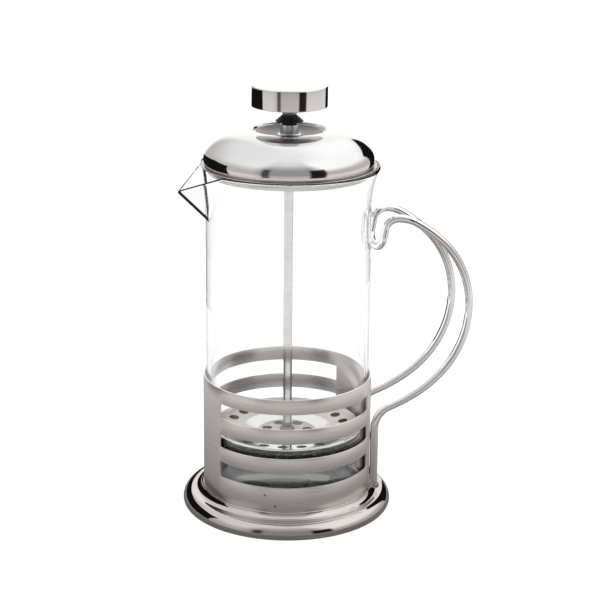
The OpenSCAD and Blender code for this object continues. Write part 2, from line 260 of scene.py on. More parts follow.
def polished_steel(name, dark=(0.70, 0.70, 0.70), light=(0.78, 0.775, 0.77), rough=(0.03, 0.09), rough_painted_zone=None):
    """Mirror-polished stainless steel with faint buffing haze and wiping marks.

    rough_painted_zone describes a rougher zone with painted colour, painted shade where it is darker and
    painted light where it is lighter: axes, begin, limit, brightness and roughness.
    """
    material, nodes, links, shader = new_material(name)
    shader.inputs["Metallic"].default_value = 1.0
    fine = noise(nodes, links, object_coords(nodes, links, (1, 1, 1)), 90, 4)
    smear = noise(nodes, links, object_coords(nodes, links, (1, 1, 5)), 35, 5)
    colour = shade(nodes, links, smear, dark, light)
    gloss = spread(nodes, links, smear, *rough)
    if rough_painted_zone:
        colour, gloss = rough_zone_painted_light(nodes, links, smear, colour, gloss, *rough_painted_zone)
    links.new(colour, shader.inputs["Base Color"])
    links.new(gloss, shader.inputs["Roughness"])
    bump(nodes, links, shader, fine, 0.05, 0.0002)
    return material


def brushed_steel(name, dark, light, rough=(0.26, 0.40), lines=(60, 60, 2600)):
    """Brushed steel: very fine lines that run round the piece, with soft uneven patches."""
    material, nodes, links, shader = new_material(name)
    shader.inputs["Metallic"].default_value = 1.0
    brushing = noise(nodes, links, object_coords(nodes, links, lines), 1, 6)
    patches = noise(nodes, links, object_coords(nodes, links, (1, 1, 1)), 60, 3)
    links.new(shade(nodes, links, brushing, dark, light, 0.25, 0.75), shader.inputs["Base Color"])
    links.new(spread(nodes, links, patches, *rough), shader.inputs["Roughness"])
    bump(nodes, links, shader, brushing, 0.12, 0.0002)
    return material


def weld_steel():
    """Rough grey weld metal."""
    material, nodes, links, shader = new_material("weld")
    shader.inputs["Metallic"].default_value = 1.0
    grains = noise(nodes, links, object_coords(nodes, links, (1, 1, 1)), 900, 5)
    colour = shade(nodes, links, grains, (0.20, 0.19, 0.18), (0.42, 0.40, 0.38))
    links.new(colour, shader.inputs["Base Color"])
    links.new(spread(nodes, links, grains, 0.3, 0.55), shader.inputs["Roughness"])
    bump(nodes, links, shader, grains, 0.4, 0.0002)
    return material


def black_plastic():
    """Black moulded plastic with a fine orange-peel gloss."""
    material, nodes, links, shader = new_material("black_plastic")
    peel = noise(nodes, links, object_coords(nodes, links, (1, 1, 1)), 700, 3)
    colour = shade(nodes, links, peel, (0.008, 0.008, 0.008), (0.016, 0.016, 0.016))
    links.new(colour, shader.inputs["Base Color"])
    links.new(spread(nodes, links, peel, 0.22, 0.34), shader.inputs["Roughness"])
    bump(nodes, links, shader, peel, 0.1, 0.0002)
    return material


def clear_glass():
    """Clear borosilicate glass with the faintest waviness."""
    material, nodes, links, shader = new_material("clear_glass")
    shader.inputs["Transmission Weight"].default_value = 1.0
    shader.inputs["IOR"].default_value = 1.47
    waves = noise(nodes, links, object_coords(nodes, links, (1, 1, 0.25)), 28, 2)
    links.new(shade(nodes, links, waves, (0.985, 0.99, 0.99), (1, 1, 1)), shader.inputs["Base Color"])
    links.new(spread(nodes, links, waves, 0.0, 0.012), shader.inputs["Roughness"])
    bump(nodes, links, shader, waves, 0.03, 0.0005)
    return material


def woven_band():
    """Dark folded gauze edge with fine bright speckles."""
    material, nodes, links, shader = new_material("woven_band")
    shader.inputs["Metallic"].default_value = 1.0
    grains = noise(nodes, links, object_coords(nodes, links, (1, 1, 1)), 1500, 1)
    colour = shade(nodes, links, grains, (0.004, 0.004, 0.004), (0.35, 0.34, 0.33), 0.58, 0.70)
    links.new(colour, shader.inputs["Base Color"])
    links.new(spread(nodes, links, grains, 0.55, 0.3), shader.inputs["Roughness"])
    bump(nodes, links, shader, grains, 0.5, 0.0002)
    return material


def woven_mesh():
    """Fine woven wire: two crossed sets of waves."""
    material, nodes, links, shader = new_material("woven_mesh")
    shader.inputs["Metallic"].default_value = 1.0
    vector = object_coords(nodes, links, (1, 1, 1))
    waves = []
    for direction in ("X", "Y"):
        wave = nodes.new("ShaderNodeTexWave")
        wave.bands_direction = direction
        wave.inputs["Scale"].default_value = 420
        links.new(vector, wave.inputs["Vector"])
        waves.append(wave.outputs["Fac"])
    both = combine(nodes, links, "MAXIMUM", *waves)
    links.new(shade(nodes, links, both, (0.02, 0.02, 0.02), (0.35, 0.34, 0.33)), shader.inputs["Base Color"])
    links.new(spread(nodes, links, both, 0.6, 0.3), shader.inputs["Roughness"])
    bump(nodes, links, shader, both, 0.5, 0.0002)
    return material


MIRROR = polished_steel("polished_steel")
# From 5.2 to 14.8 mm out, the dish round the boss is rougher and painted near black: painted shade under the
# knob and a painted reflection of its dark underside.
DOME_STEEL = polished_steel("polished_dome", rough_painted_zone=(RING_WISE, 0.0052, 0.0148, 0.10, 0.3))
# Inside 36.6 mm the foot's floor is rougher and painted near black: painted shade under the beaker inside the
# cage.
FOOT_STEEL = polished_steel("polished_foot", (0.50, 0.485, 0.47), (0.62, 0.60, 0.585),
                            rough_painted_zone=(RING_WISE, -0.001, 0.0366, 0.07, 0.4))
# Below 183.45 mm, on the knob's underside and neck, the steel is rougher and painted a little lighter:
# painted light where the mirror would show dark.
KNOB_STEEL = polished_steel("polished_knob", rough_painted_zone=(UPRIGHT, 0, 0.18345, 0.8, 0.45))
WIRE = polished_steel("polished_wire", (0.88, 0.88, 0.88), (0.96, 0.955, 0.95), (0.02, 0.07))
ROD = polished_steel("polished_rod", (0.55, 0.55, 0.55), (0.68, 0.68, 0.68), (0.10, 0.2))
BRUSHED = brushed_steel("brushed_steel", (0.78, 0.745, 0.72), (0.98, 0.94, 0.915))
SKIRT_STEEL = brushed_steel("skirt_steel", (0.32, 0.31, 0.30), (0.66, 0.64, 0.62), rough=(0.2, 0.35),
                            lines=(30, 30, 3200))
FITTING = brushed_steel("fitting_steel", (0.30, 0.29, 0.28), (0.42, 0.41, 0.40), rough=(0.25, 0.4),
                        lines=(400, 400, 400))
COIL_STEEL = polished_steel("coil_steel", (0.04, 0.04, 0.04), (0.14, 0.135, 0.13), (0.25, 0.4))
WELD = weld_steel()
BLACK = black_plastic()
GLASS = clear_glass()
WOVEN = woven_mesh()
BAND = woven_band()


# ---------------------------------------------------------------- foot

FOOT_R = width("base_foot")
CAGE_R = width("cage_sleeve")
SEAT_Z = low("cage_sleeve")
FLOOR_Z = low("glass_beaker") - 0.05
CROWN_R, CROWN_Z, COVE_R, BEAD_R = 4.85, 2.3, 3.75, 0.4
CROWN_X = FOOT_R - CROWN_R
COVE_X, COVE_Z = CROWN_X - 0.6, CROWN_Z + CROWN_R + COVE_R
BEAD_X = CAGE_R + 0.15
FOOT_SHEET = 0.8
RING_DEPTH = 0.5
RING_RADII = (12, 22)


def trough(r, z):
    """A shallow rounded ring pressed into the floor."""
    edge = arc(0, 0, 1, 90, 0, 4)
    left = [(r - 1.7 + 0.8 * x, z - RING_DEPTH * (1 - y)) for x, y in edge]
    right = [(r + 1.7 - 0.8 * x, z - RING_DEPTH * (1 - y)) for x, y in reversed(edge)]
    return left + right


def make_foot():
    under = FLOOR_Z - FOOT_SHEET
    top = [(0, FLOOR_Z)]
    for r in RING_RADII:
        top += trough(r, FLOOR_Z)
    top += arc(36.2, FLOOR_Z + 0.4, 0.4, -90, 0, 5) + [(36.7, SEAT_Z - 0.1)]
    top += arc(36.85, SEAT_Z - 0.1, 0.1, 180, 90, 3)
    top += arc(BEAD_X, SEAT_Z - BEAD_R, BEAD_R, 90, -20, 10)
    top += arc(COVE_X, COVE_Z, COVE_R, 205, 270, 18)
    top += arc(CROWN_X, CROWN_Z, CROWN_R, 90, 0, 36)
    top += arc(CROWN_X + CROWN_R - CROWN_Z, CROWN_Z, CROWN_Z, 0, -90, 16)
    inner = [(CROWN_X + 1.6, 0)]
    inner += arc(CROWN_X + CROWN_R - 2.3, 2.3, 1.3, -60, 0, 8)
    inner += arc(CROWN_X, CROWN_Z, CROWN_R - 1, 0, 90, 20)
    inner += arc(COVE_X, COVE_Z, COVE_R + FOOT_SHEET, 270, 216, 12)
    inner += [(37.2, under)]
    for r in reversed(RING_RADII):
        inner += list(reversed(trough(r, under)))
    inner += [(0, under)]
    lathe("foot_shell", top + inner, "frame", FOOT_STEEL, ["base_foot"], 320)


# ---------------------------------------------------------------- cage

CAGE_TOP = high("cage_sleeve")
CAGE_SHEET = 0.8
SLOT_H, SLOT_Z, SLOT_PITCH, SLOT_ROWS = 6.85, 21.2, 13.65, 3
HANDLE_BAND, SPOUT_BAND = 34, 22.6


def sheet_of_cells(bm, angles, heights, keep, place):
    """Adds the grid cells that keep(angle, height) accepts, each corner put where place says."""
    corner = {}

    def vertex(i, j):
        key = (i % len(angles), j)
        if key not in corner:
            corner[key] = bm.verts.new(place(angles[key[0]], heights[j]))
        return corner[key]

    for i in range(len(angles)):
        following = angles[i + 1] if i + 1 < len(angles) else angles[0] + 360
        for j in range(len(heights) - 1):
            if keep((angles[i] + following) / 2, (heights[j] + heights[j + 1]) / 2):
                bm.faces.new((vertex(i, j), vertex(i + 1, j), vertex(i + 1, j + 1), vertex(i, j + 1)))


def angles_between(stops, step):
    """Angles from stop to stop round the circle, about step degrees apart."""
    out = []
    for a, b in zip(stops, stops[1:] + [stops[0] + 360]):
        n = max(1, round((b - a) / step))
        out += [a + (b - a) * i / n for i in range(n)]
    return out


def thicken(piece, thickness, bevel, offset):
    """Gives a thin sheet its thickness and softens its cut edges, then applies both."""
    solid = piece.modifiers.new("thickness", "SOLIDIFY")
    solid.thickness = thickness * MM
    solid.offset = offset
    solid.use_even_offset = True
    soft = piece.modifiers.new("edges", "BEVEL")
    soft.width = bevel * MM
    soft.segments = 2
    soft.limit_method = "ANGLE"
    soft.angle_limit = math.radians(50)
    bake_modifiers(piece)


def make_cage():
    slots = [SLOT_Z + SLOT_PITCH * row for row in range(SLOT_ROWS)]
    heights = [SEAT_Z] + [z for slot in slots for z in (slot, slot + SLOT_H)] + [CAGE_TOP]
    angles = angles_between([HANDLE_BAND, 180 - SPOUT_BAND, 180 + SPOUT_BAND, 360 - HANDLE_BAND], 2)

    def keep(angle, height):
        solid_band = angle < 180 + SPOUT_BAND and angle > 180 - SPOUT_BAND or angle > 360 - HANDLE_BAND
        return solid_band or not any(z < height < z + SLOT_H for z in slots)

    def place(angle, height):
        a = math.radians(angle)
        return (CAGE_R * math.cos(a), CAGE_R * math.sin(a), height)

    bm = bmesh.new()
    sheet_of_cells(bm, angles, heights, keep, place)
    piece = finish_mesh("cage_sheet", bm, "frame", BRUSHED, ["cage_sleeve"])
    thicken(piece, CAGE_SHEET, 0.12, -1)


def blob(bm, centre, out, across, high_by, seed, sides=20, rings=5):
    """Adds a small flattened, slightly uneven bead of weld metal that stands out along a direction."""
    rng = random.Random(seed)
    side = out.cross(Vector((0, 0, 1)))
    side = side.normalized() if side.length > 0.1 else Vector((1, 0, 0))
    up = out.cross(side)
    tip = bm.verts.new(centre + out * high_by)
    previous = None
    for j in range(1, rings + 1):
        lean = math.pi / 2 * j / rings
        ring = []
        for k in range(sides):
            a = 2 * math.pi * k / sides
            r = across * math.sin(lean) * rng.uniform(0.94, 1.06)
            ring.append(bm.verts.new(centre + r * (math.cos(a) * side + math.sin(a) * up)
                                     + out * high_by * math.cos(lean)))
        for k in range(sides):
            n = (k + 1) % sides
            if previous is None:
                bm.faces.new((tip, ring[k], ring[n]))
            else:
                bm.faces.new((previous[k], ring[k], ring[n], previous[n]))
        previous = ring
    bm.faces.new(list(reversed(previous)))


def make_spot_welds():
    bm = bmesh.new()
    for number, (angle, z) in enumerate([(-120.5, 17.5), (-113.5, 12.6)]):
        a = math.radians(angle)
        out = Vector((math.cos(a), math.sin(a), 0))
        blob(bm, out * (CAGE_R - 0.02) + Vector((0, 0, z)), out, 0.6, 0.12, number)
    finish_mesh("spot_weld_marks", bm, "frame", WELD, ["sleeve_spot_welds"])


# ---------------------------------------------------------------- handle

WIRE_D, WIRE_X, WIRE_Z = 3.6, 38.2, low("handle_wire")
WIRE_GAP = high("handle_wire", 1) - WIRE_D / 2
HOOK_GAP, HOOK_DEPTH, HOOK_END, CLOSE_EARLY = 8.5, 5.5, 4, 6
# Runs of the side view: length and turn. A positive turn bends back towards the beaker
RUNS = [(27.9, 0), (12.5, -71.5), (13.3, 9.5), (14.5, 16), (69.4, 92.5), (16.3, 13), (8.2, 30.5), (8.4, 80),
        (HOOK_END, 0)]


def handle_leg():
    """Points, headings and distances along one wire, from the foot to the hook."""
    x, z, heading, gone = WIRE_X, WIRE_Z, 90.0, 0.0
    leg = [(x, z, heading, gone)]
    for length, turn in RUNS:
        n = max(4, math.ceil(abs(turn) / 2))
        for _ in range(n):
            middle = math.radians(heading + turn / n / 2)
            x += length / n * math.cos(middle)
            z += length / n * math.sin(middle)
            heading += turn / n
            gone += length / n
            leg.append((x, z, heading, gone))
    return leg


def make_handle():
    leg = handle_leg()
    total = leg[-1][3]
    stop = total - HOOK_END
    start = stop - RUNS[-2][0] - CLOSE_EARLY
    one, flat = [], []
    for x, z, heading, gone in leg:
        t = min(1, max(0, (gone - start) / (stop - start)))
        half = WIRE_GAP + (HOOK_GAP - WIRE_GAP) * t * t * (3 - 2 * t)
        one.append(Vector((x, half, z)))
        h = math.radians(heading)
        flat.append(Vector((-math.sin(h), 0, math.cos(h))))
    last = math.radians(leg[-1][2])
    ahead = Vector((math.cos(last), 0, math.sin(last)))
    middle = Vector((leg[-1][0], 0, leg[-1][1]))
    turns = [math.pi * i / 48 for i in range(1, 48)]
    across = Vector((0, 1, 0))
    bend = [middle + HOOK_GAP * math.cos(a) * across + HOOK_DEPTH * math.sin(a) * ahead for a in turns]
    other = [Vector((p.x, -p.y, p.z)) for p in reversed(one)]
    path = one + bend + other
    normals = flat + [flat[-1]] * len(bend) + list(reversed(flat))
    bm = bmesh.new()
    sweep(bm, path, WIRE_D / 2, 32, normals)
    finish_mesh("handle_hairpin", bm, "frame", WIRE, ["handle_wire"])


def make_handle_welds():
    bm = bmesh.new()
    for number, side in enumerate((-1, 1)):
        rng = random.Random(10 + number)
        centre = Vector((WIRE_X + 0.3, side * WIRE_GAP, 0))
        outline = [(1.2, 7.1), (2.35, 7.1), (2.3, 7.6), (2.05, 8.0), (1.85, 8.3), (1.2, 8.4)]
        part = bmesh.new()
        spin(part, outline, 40)
        for v in part.verts:
            wobble = rng.uniform(-0.05, 0.05)
            v.co += Vector((v.co.x * wobble, v.co.y * wobble, 0)) + centre
        mesh = bpy.data.meshes.new("foot_weld")
        part.to_mesh(mesh)
        part.free()
        bm.from_mesh(mesh)
        bpy.data.meshes.remove(mesh)
    finish_mesh("foot_weld_fillets", bm, "frame", WELD, ["handle_foot_welds"], 60)

    bm = bmesh.new()
    angle = math.atan2(WIRE_GAP, WIRE_X)
    for side in (-1, 1):
        for z in (14.5, 31.5):
            for step in range(-2, 3):
                out = Vector((math.cos(side * angle), math.sin(side * angle), 0))
                centre = out * (CAGE_R - 0.2) + Vector((0, 0, z + 0.65 * step))
                blob(bm, centre, out, 0.7, 0.5, step + 20, 14, 4)
    finish_mesh("cage_tack_welds", bm, "frame", WELD, ["handle_sleeve_welds"], 60)


# ---------------------------------------------------------------- glass

GLASS_R = 36.4
WALL, BASE, CORNER = 1.7, 2.0, 5.0
GLASS_Z = low("glass_beaker")
RIM_Z = high("glass_beaker")
FLARE_Z = 139
RIM_R = high("glass_beaker", 1)
KEEL = Vector((-GLASS_R, 0, 134.3))
TIP = Vector((low("glass_beaker", 0), 0, 147.3))
LIP = Vector((-34.9, 18.5, RIM_Z - 0.45))
CREASE = 0.35


def flare(z):
    """Outer radius of the glass at a height, without the spout."""
    if z <= FLARE_Z:
        return GLASS_R
    rise = RIM_Z - WALL / 2 - FLARE_Z
    out = RIM_R - GLASS_R
    angle = 2 * math.atan(out / rise)
    big = rise / math.sin(angle)
    lift = min(z - FLARE_Z, big * math.sin(angle))
    return GLASS_R + big - math.sqrt(big * big - lift * lift)


def spout_reach(turn, z):
    """Distance from the axis to the spout's side, at an angle from the spout's middle."""
    across = (TIP - KEEL).cross(LIP - KEEL)
    slope = -across.x * math.cos(turn) + across.y * math.sin(turn)
    return (across.dot(KEEL) - across.z * z) / slope if abs(slope) > 1e-6 else 0


def lip_height(turn):
    """Height of the glass edge at an angle from the spout's middle."""
    end = math.atan2(LIP.y, -LIP.x)
    if turn >= end:
        return RIM_Z - WALL / 2
    t = math.tan(turn)
    u = -TIP.x * t / (LIP.y + (LIP.x - TIP.x) * t)
    edge = TIP.z + (LIP.z - WALL / 2 - TIP.z) * u
    return edge


def smooth_max(a, b, k):
    gap = max(k - abs(a - b), 0) / k
    return max(a, b) + gap * gap * k / 4


def glass_outline(turn):
    """Outer points of the glass at an angle from the spout's middle, from the corner to the edge."""
    top = lip_height(turn)
    outline = arc(GLASS_R - CORNER, GLASS_Z + CORNER, CORNER, -90, 0, 10)
    heights = [GLASS_Z + CORNER + (KEEL.z - 2 - GLASS_Z - CORNER) * i / 12 for i in range(1, 13)]
    start = KEEL.z - 2
    heights += [start + (top - start) * i / 44 for i in range(1, 45)]
    for z in heights:
        r = flare(z)
        if z > start:
            r = smooth_max(r, spout_reach(turn, z), CREASE) if turn < math.radians(60) else r
        outline.append((r, z))
    return outline


def make_glass():
    spout_end = math.degrees(math.atan2(LIP.y, -LIP.x))
    turns = angles_between([-spout_end, 0, spout_end], 0.7)
    turns = [t for t in turns if t < spout_end] + angles_between([spout_end, 360 - spout_end], 1.5)
    turns = sorted({round(t % 360, 4) for t in turns if -spout_end <= t <= 360 - spout_end})
    bm = bmesh.new()
    columns = []
    for turn in turns:
        folded = math.radians(min(turn, 360 - turn))
        outer = glass_outline(folded)
        inner = []
        for i, (r, z) in enumerate(outer):
            before, after = outer[max(i - 1, 0)], outer[min(i + 1, len(outer) - 1)]
            dr, dz = after[0] - before[0], after[1] - before[1]
            length = math.hypot(dr, dz)
            thick = BASE if i == 0 else WALL
            inner.append((r - dz / length * thick, z + dr / length * thick))
        inner[0] = (inner[0][0], GLASS_Z + BASE)
        (ro, zo), (ri, zi) = outer[-1], inner[-1]
        middle = ((ro + ri) / 2, (zo + zi) / 2)
        begin = math.degrees(math.atan2(zo - middle[1], ro - middle[0]))
        edge = arc(*middle, WALL / 2, begin, begin + 180, 8)[1:-1]
        a = math.pi - math.radians(turn)
        column = [(0, GLASS_Z)] + outer + edge + list(reversed(inner)) + [(0, GLASS_Z + BASE)]
        columns.append([Vector((r * math.cos(a), r * math.sin(a), z)) for r, z in column])
    grid = [[bm.verts.new(p) for p in column] for column in columns]
    for i in range(len(grid)):
        a, b = grid[i], grid[(i + 1) % len(grid)]
        for j in range(len(a) - 1):
            bm.faces.new((a[j], a[j + 1], b[j + 1], b[j]))
    finish_mesh("glass_vessel", bm, "beaker", GLASS, ["glass_beaker"], 60)


# ---------------------------------------------------------------- lid and guide

DOME_R = width("lid_dome")
DOME_Z, DOME_TOP, DOME_RING, DOME_SIDE = low("lid_dome"), 173.4, 17, 7
LID_SHEET = 0.8
SIDE_X, SIDE_Z = DOME_R - DOME_SIDE, DOME_Z + 1.8
BOSS_R, BOSS_Z = 4, high("lid_dome")
DISH_R, DISH_Z, DISH_SPAN = 13.6, 171, 24
HOLE_R = 3.05


def make_dome():
    inward, upward = SIDE_X - DOME_RING, DOME_TOP - SIDE_Z
    big = (inward ** 2 + upward ** 2 - DOME_SIDE ** 2) / (2 * (upward - DOME_SIDE))
    big_z = DOME_TOP - big
    meet = math.degrees(math.atan2(SIDE_Z - big_z, inward))
    outline = [(DOME_R - LID_SHEET, DOME_Z + 0.3)]
    outline += arc(DOME_R - 0.5, DOME_Z + 0.25, 0.25, 180, 330, 6)
    outline += arc(SIDE_X, SIDE_Z, DOME_SIDE, -10, meet, 40)
    outline += arc(DOME_RING, big_z, big, meet, 90, 40)[1:]
    outline += arc(DOME_RING - 0.1, DOME_TOP - 1.6, 1.6, 95, 165, 14)
    dish = (DISH_R - BOSS_R - 2) / math.sin(math.radians(DISH_SPAN))
    outline += arc(BOSS_R + 2, DISH_Z + dish, dish, -90 + DISH_SPAN, -90, 16)
    outline += arc(BOSS_R + 0.5, DISH_Z + 0.5, 0.5, -90, -180, 6)
    outline += arc(BOSS_R - 0.3, BOSS_Z - 0.3, 0.3, 0, 90, 4)
    outline += [(HOLE_R, BOSS_Z), (HOLE_R, DISH_Z - LID_SHEET)]
    outline += arc(BOSS_R + 2, DISH_Z + dish, dish + LID_SHEET, -90, -90 + DISH_SPAN, 16)
    outline += arc(DOME_RING, big_z, big - LID_SHEET, 90, meet, 24)
    outline += arc(SIDE_X, SIDE_Z, DOME_SIDE - LID_SHEET, meet, 0, 24)[1:]
    lathe("dome_shell", outline, "lid", DOME_STEEL, ["lid_dome"], 320, 40)


SKIRT_R, SKIRT_SHEET, FLANGE_R = 35.4, 0.6, width("lid_skirt")
SKIRT_Z = low("lid_skirt")
FLANGE_Z = RIM_Z - 0.25


def make_skirt():
    neck = DOME_R - LID_SHEET
    outline = arc(SKIRT_R - 0.3, SKIRT_Z + 0.3, 0.3, 180, 360, 8)
    outline += arc(SKIRT_R + 1.2, FLANGE_Z - 1.2, 1.2, 180, 90, 10)
    outline += arc(FLANGE_R - 0.3, FLANGE_Z + 0.3, 0.3, -90, 90, 10)
    outline += [(neck, FLANGE_Z + SKIRT_SHEET), (neck, DOME_Z + 2.2)]
    outline += [(neck - SKIRT_SHEET, DOME_Z + 2.2), (neck - SKIRT_SHEET, FLANGE_Z + SKIRT_SHEET)]
    outline += arc(SKIRT_R + 1.2, FLANGE_Z - 1.2, 1.2 + SKIRT_SHEET, 90, 180, 10)
    lathe("skirt_ring", outline, "lid", SKIRT_STEEL, ["lid_skirt"], 256)


ROD_R = width("plunger_rod")
BEAD_LOW, BEAD_MID, BEAD_HIGH = 175.5, 176.8, high("lid_bush")
BEAD_WIDE, BEAD_END = width("lid_bush"), 3.4


def make_bush():
    bore, spigot = ROD_R + 0.05, HOLE_R - 0.05
    bottom = low("lid_bush")
    outline = [(bore, bottom), (spigot, bottom), (spigot, BEAD_LOW), (BEAD_END - 0.3, BEAD_LOW)]
    outline += [(BEAD_END, BEAD_LOW + 0.2), (5.6, BEAD_MID - 0.4)]
    outline += arc(BEAD_WIDE - 0.35, BEAD_MID, 0.35, -50, 50, 8)
    outline += [(5.3, BEAD_MID + 0.7), (4.3, BEAD_MID + 1.6), (3.6, BEAD_HIGH - 0.35)]
    outline += arc(BEAD_END - 0.25, BEAD_HIGH - 0.25, 0.25, 10, 90, 4)
    outline += [(bore, BEAD_HIGH)]
    lathe("guide_bead", outline, "guide", BLACK, ["lid_bush"], 96)


def hex_nut(name, body, node, bore):
    """A hexagon nut with turned corners, filling its CAD node's box."""
    bottom, top = low(node), high(node)
    radius = high(node, 0)
    bm = bmesh.new()
    sides, cut = 96, 0.35
    rows = [(bore, bottom), (None, bottom), (None, bottom + cut), (None, top - cut), (None, top), (bore, top)]
    rings = []
    for i, (r, z) in enumerate(rows):
        ring = []
        for k in range(sides):
            a = 2 * math.pi * k / sides
            flat = radius * math.cos(math.pi / 6) / math.cos((a % (math.pi / 3)) - math.pi / 6)
            if r is not None:
                reach = r
            elif i in (1, 4):
                reach = min(flat, radius * 0.9)
            else:
                reach = flat
            ring.append(bm.verts.new((reach * math.cos(a), reach * math.sin(a), z)))
        rings.append(ring)
    for i in range(len(rings)):
        a, b = rings[i], rings[(i + 1) % len(rings)]
        for k in range(sides):
            n = (k + 1) % sides
            bm.faces.new((a[k], b[k], b[n], a[n]))
    finish_mesh(name, bm, body, FITTING, [node], 28)


# ---------------------------------------------------------------- plunger

KNOB_R, KNOB_LOW, KNOB_HIGH = width("knob_cap"), low("knob_cap"), high("knob_cap")
KNOB_SHEET, KNOB_EDGE, NECK_END = 0.8, 0.7, 3.1


def make_knob():
    outline = [(0, KNOB_HIGH), (KNOB_R * 0.5, KNOB_HIGH)]
    outline += arc(KNOB_R - KNOB_EDGE, KNOB_HIGH - KNOB_EDGE, KNOB_EDGE, 90, 0, 12)
    outline += arc(KNOB_R - 0.4, KNOB_LOW + 0.4, 0.4, 0, -90, 8)
    outline += [(neck_radius(), KNOB_LOW), (neck_radius(), KNOB_LOW + KNOB_SHEET)]
    outline += [(KNOB_R - KNOB_SHEET, KNOB_LOW + KNOB_SHEET), (KNOB_R - KNOB_SHEET, KNOB_HIGH - KNOB_SHEET)]
    outline += [(0, KNOB_HIGH - KNOB_SHEET)]
    lathe("knob_shell", outline, "plunger", KNOB_STEEL, ["knob_cap"], 256)

    bottom, top, full = low("knob_core"), high("knob_core"), width("knob_core")
    outline = [(ROD_R, bottom), (full, bottom), (full, top), (0, top)]
    outline += [(0, high("plunger_rod")), (ROD_R, high("plunger_rod"))]
    lathe("knob_filling", outline, "plunger", BLACK, ["knob_core"], 128)

    bottom, top = low("knob_boss"), high("knob_boss")
    outline = [(ROD_R, bottom), (NECK_END - 0.2, bottom), (NECK_END, bottom + 0.2), (3.4, bottom + 1.5)]
    outline += [(4.0, bottom + 2.7), (neck_radius(), KNOB_LOW), (neck_radius(), top), (ROD_R, top)]
    lathe("knob_neck", outline, "plunger", KNOB_STEEL, ["knob_boss"], 96)


def neck_radius():
    return width("knob_boss")


def make_rod():
    bottom, top = low("plunger_rod"), high("plunger_rod")
    outline = [(0, bottom)] + arc(ROD_R - 0.3, bottom + 0.3, 0.3, -90, 0, 5)
    pitch = 0.7
    threads = int((low("cross_plate") - bottom - 0.5) / pitch)
    for i in range(threads):
        z = bottom + 0.5 + i * pitch
        outline += [(ROD_R, z), (ROD_R - 0.25, z + pitch / 2)]
    outline += [(ROD_R, bottom + 0.5 + threads * pitch), (ROD_R, top), (0, top)]
    lathe("rod", outline, "plunger", ROD, ["plunger_rod"], 64)


# ---------------------------------------------------------------- filter

PLATE_Z, PLATE_R = low("top_plate"), width("top_plate")
PLATE_SHEET, PLATE_RISE, PLATE_FLAT = 0.6, 3.5, 14
# Holes of the plate: how many, radius of their ring, radius of a hole and angle of the first
OUTER_HOLES = (20, 26.5, 2.3, 16)
INNER_HOLES = (7, 9.5, 2.25, 45)


def cylinders(name, count, ring, radius, turn, bottom, top):
    """A cutter: upright cylinders on a circle."""
    bm = bmesh.new()
    for i in range(count):
        a = math.radians(turn + 360 * i / count)
        where = Matrix.Translation((ring * math.cos(a), ring * math.sin(a), (bottom + top) / 2))
        bmesh.ops.create_cone(bm, cap_ends=True, segments=32, radius1=radius, radius2=radius,
                              depth=top - bottom, matrix=where)
    bmesh.ops.scale(bm, vec=(MM, MM, MM), verts=bm.verts)
    mesh = bpy.data.meshes.new(name)
    bm.to_mesh(mesh)
    bm.free()
    cutter = bpy.data.objects.new(name, mesh)
    bpy.context.scene.collection.objects.link(cutter)
    return cutter


def cut(piece, *cutters):
    """Cuts holes through a piece, then removes the cutters."""
    for cutter in cutters:
        hole = piece.modifiers.new("hole", "BOOLEAN")
        hole.object = cutter
        hole.operation = "DIFFERENCE"
        hole.solver = "EXACT"
    bake_modifiers(piece)
    for cutter in cutters:
        bpy.data.objects.remove(cutter)


def smooth_plate(mesh):
    """Gives the plate's cone its own true normals, which the cut holes would otherwise disturb."""
    slope = (PLATE_RISE - 0.8) / (PLATE_R - 3.3 - PLATE_FLAT)
    normals = []
    for face in mesh.polygons:
        face.use_smooth = True
        reach = max(mesh.vertices[i].co.xy.length for i in face.vertices) / MM
        for i in face.vertices:
            co = mesh.vertices[i].co
            r = co.xy.length / MM
            if abs(face.normal.z) < 0.8:
                normals.append(face.normal.copy())
            elif reach > PLATE_R - 3.2:
                normals.append(mesh.vertices[i].normal.copy())
            else:
                lean = slope * min(1, max(0, (r - PLATE_FLAT + 1.1) / 0.7))
                reach_m = max(r * MM, 1e-9)
                up = Vector((-lean * co.x / reach_m, -lean * co.y / reach_m, 1)).normalized()
                normals.append(up if face.normal.z > 0 else -up)
    mesh.normals_split_custom_set(normals)


def make_plate():
    rise = PLATE_Z + PLATE_RISE
    lower = [(ROD_R, PLATE_Z)] + arc(PLATE_FLAT - 1, PLATE_Z + 3, 3, -90, -76, 4)
    lower += arc(PLATE_R - 3.2, rise + 2.2, 3, -80, -60, 5)
    upper = arc(PLATE_R - 0.35, rise + 0.25, 0.35, -60, 120, 10)
    upper += [(PLATE_R - 1.6, rise + 0.1), (PLATE_R - 3.3, rise - 0.12)]
    upper += arc(PLATE_FLAT - 1.1, PLATE_Z + PLATE_SHEET + 3, 3, -76, -90, 4)
    upper += [(ROD_R, PLATE_Z + PLATE_SHEET)]
    piece = lathe("filter_plate", lower + upper, "plunger", MIRROR, ["top_plate"], 192)
    cut(piece, cylinders("outer_cut", *OUTER_HOLES, PLATE_Z - 2, PLATE_Z + 8),
        cylinders("inner_cut", *INNER_HOLES, PLATE_Z - 2, PLATE_Z + 8))
    smooth_plate(piece.data)


COIL_TUBE = 1.0
COIL_PATH = width("spring_coil") - COIL_TUBE
COIL_Z = (low("spring_coil") + high("spring_coil")) / 2
COIL_TURNS, COIL_WIRE = 150, 0.2
HEM_SHEET = 0.25


